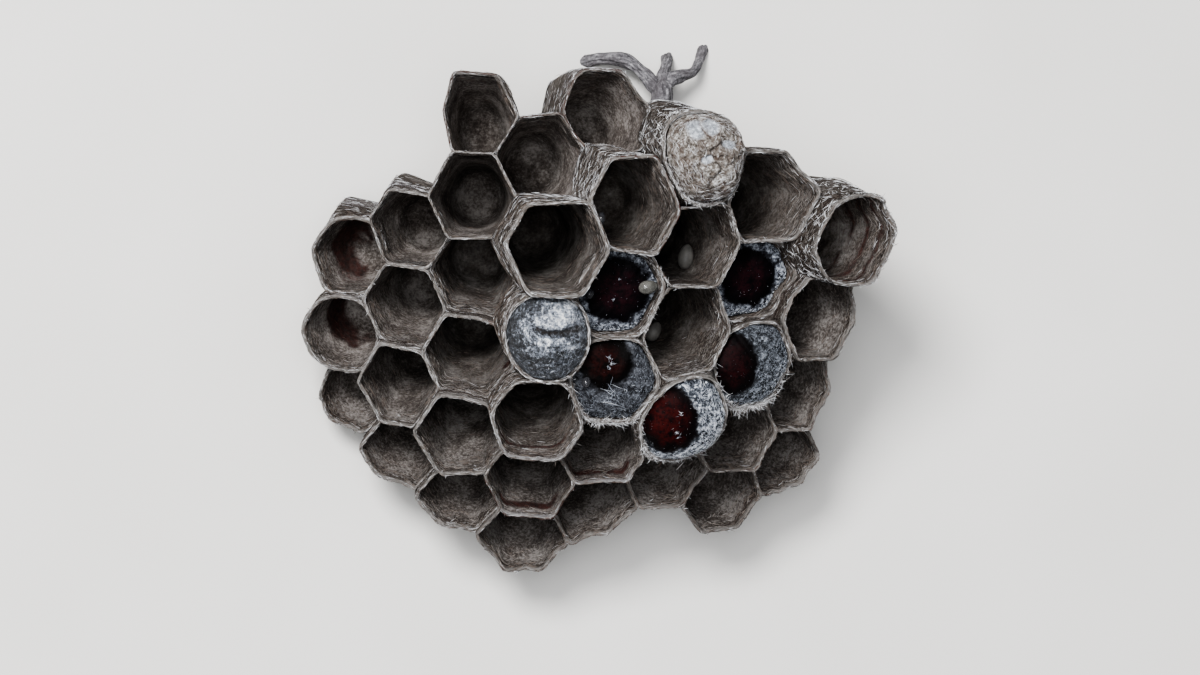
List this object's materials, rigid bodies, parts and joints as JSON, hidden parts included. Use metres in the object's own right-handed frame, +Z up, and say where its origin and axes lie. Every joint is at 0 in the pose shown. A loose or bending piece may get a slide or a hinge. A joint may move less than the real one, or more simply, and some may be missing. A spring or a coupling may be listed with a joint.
{
  "type": "paper wasp nest",
  "caption": "Small open paper wasp comb of grey six-sided cells with silk caps, eggs and a forked stalk, lying on its back.",
  "frame": {"origin": "middle of the underside's box, on the floor that the nest lies on", "axes": "+Z up, out of the cell mouths; +Y towards the stalk and holdfast, which was the top when the nest hung; +X to the right seen from above"},
  "size_m": [0.032, 0.0304, 0.0179],
  "materials": {
    "paper": "matte grey plant fibre in thin streaks, browner deep in the cells",
    "stalk_fibre": "pale grey varnished fibre",
    "silk_white": "bluish white silk with a fine sparkle",
    "pulp_coat": "silk coated with beige grey pulp",
    "silk_dark": "thin silk, dark where the pupa shows through, white at the edge",
    "silk_red": "white silk around a glossy dark red window",
    "egg_shell": "pearly and slightly see-through"
  },
  "bodies": {
    "root": {"comb": "paper", "stalk": "stalk_fibre", "holdfast_left": "stalk_fibre", "holdfast_middle": "stalk_fibre", "holdfast_right": "stalk_fibre", "cap_silk_dome": "silk_white", "cap_paper_dome": "pulp_coat", "cap_dark_upper": "silk_dark", "cap_dark_lower": "silk_dark", "cap_red": "silk_red", "cap_dark_right": "silk_dark", "cap_grey_right": "silk_red", "egg_by_dark_cap": "egg_shell", "egg_in_corner": "egg_shell", "egg_by_lower_cap": "egg_shell", "egg_tall_cell": "egg_shell", "egg_deep_upper": "egg_shell", "egg_deep_lower": "egg_shell"}
  },
  "joints": []
}
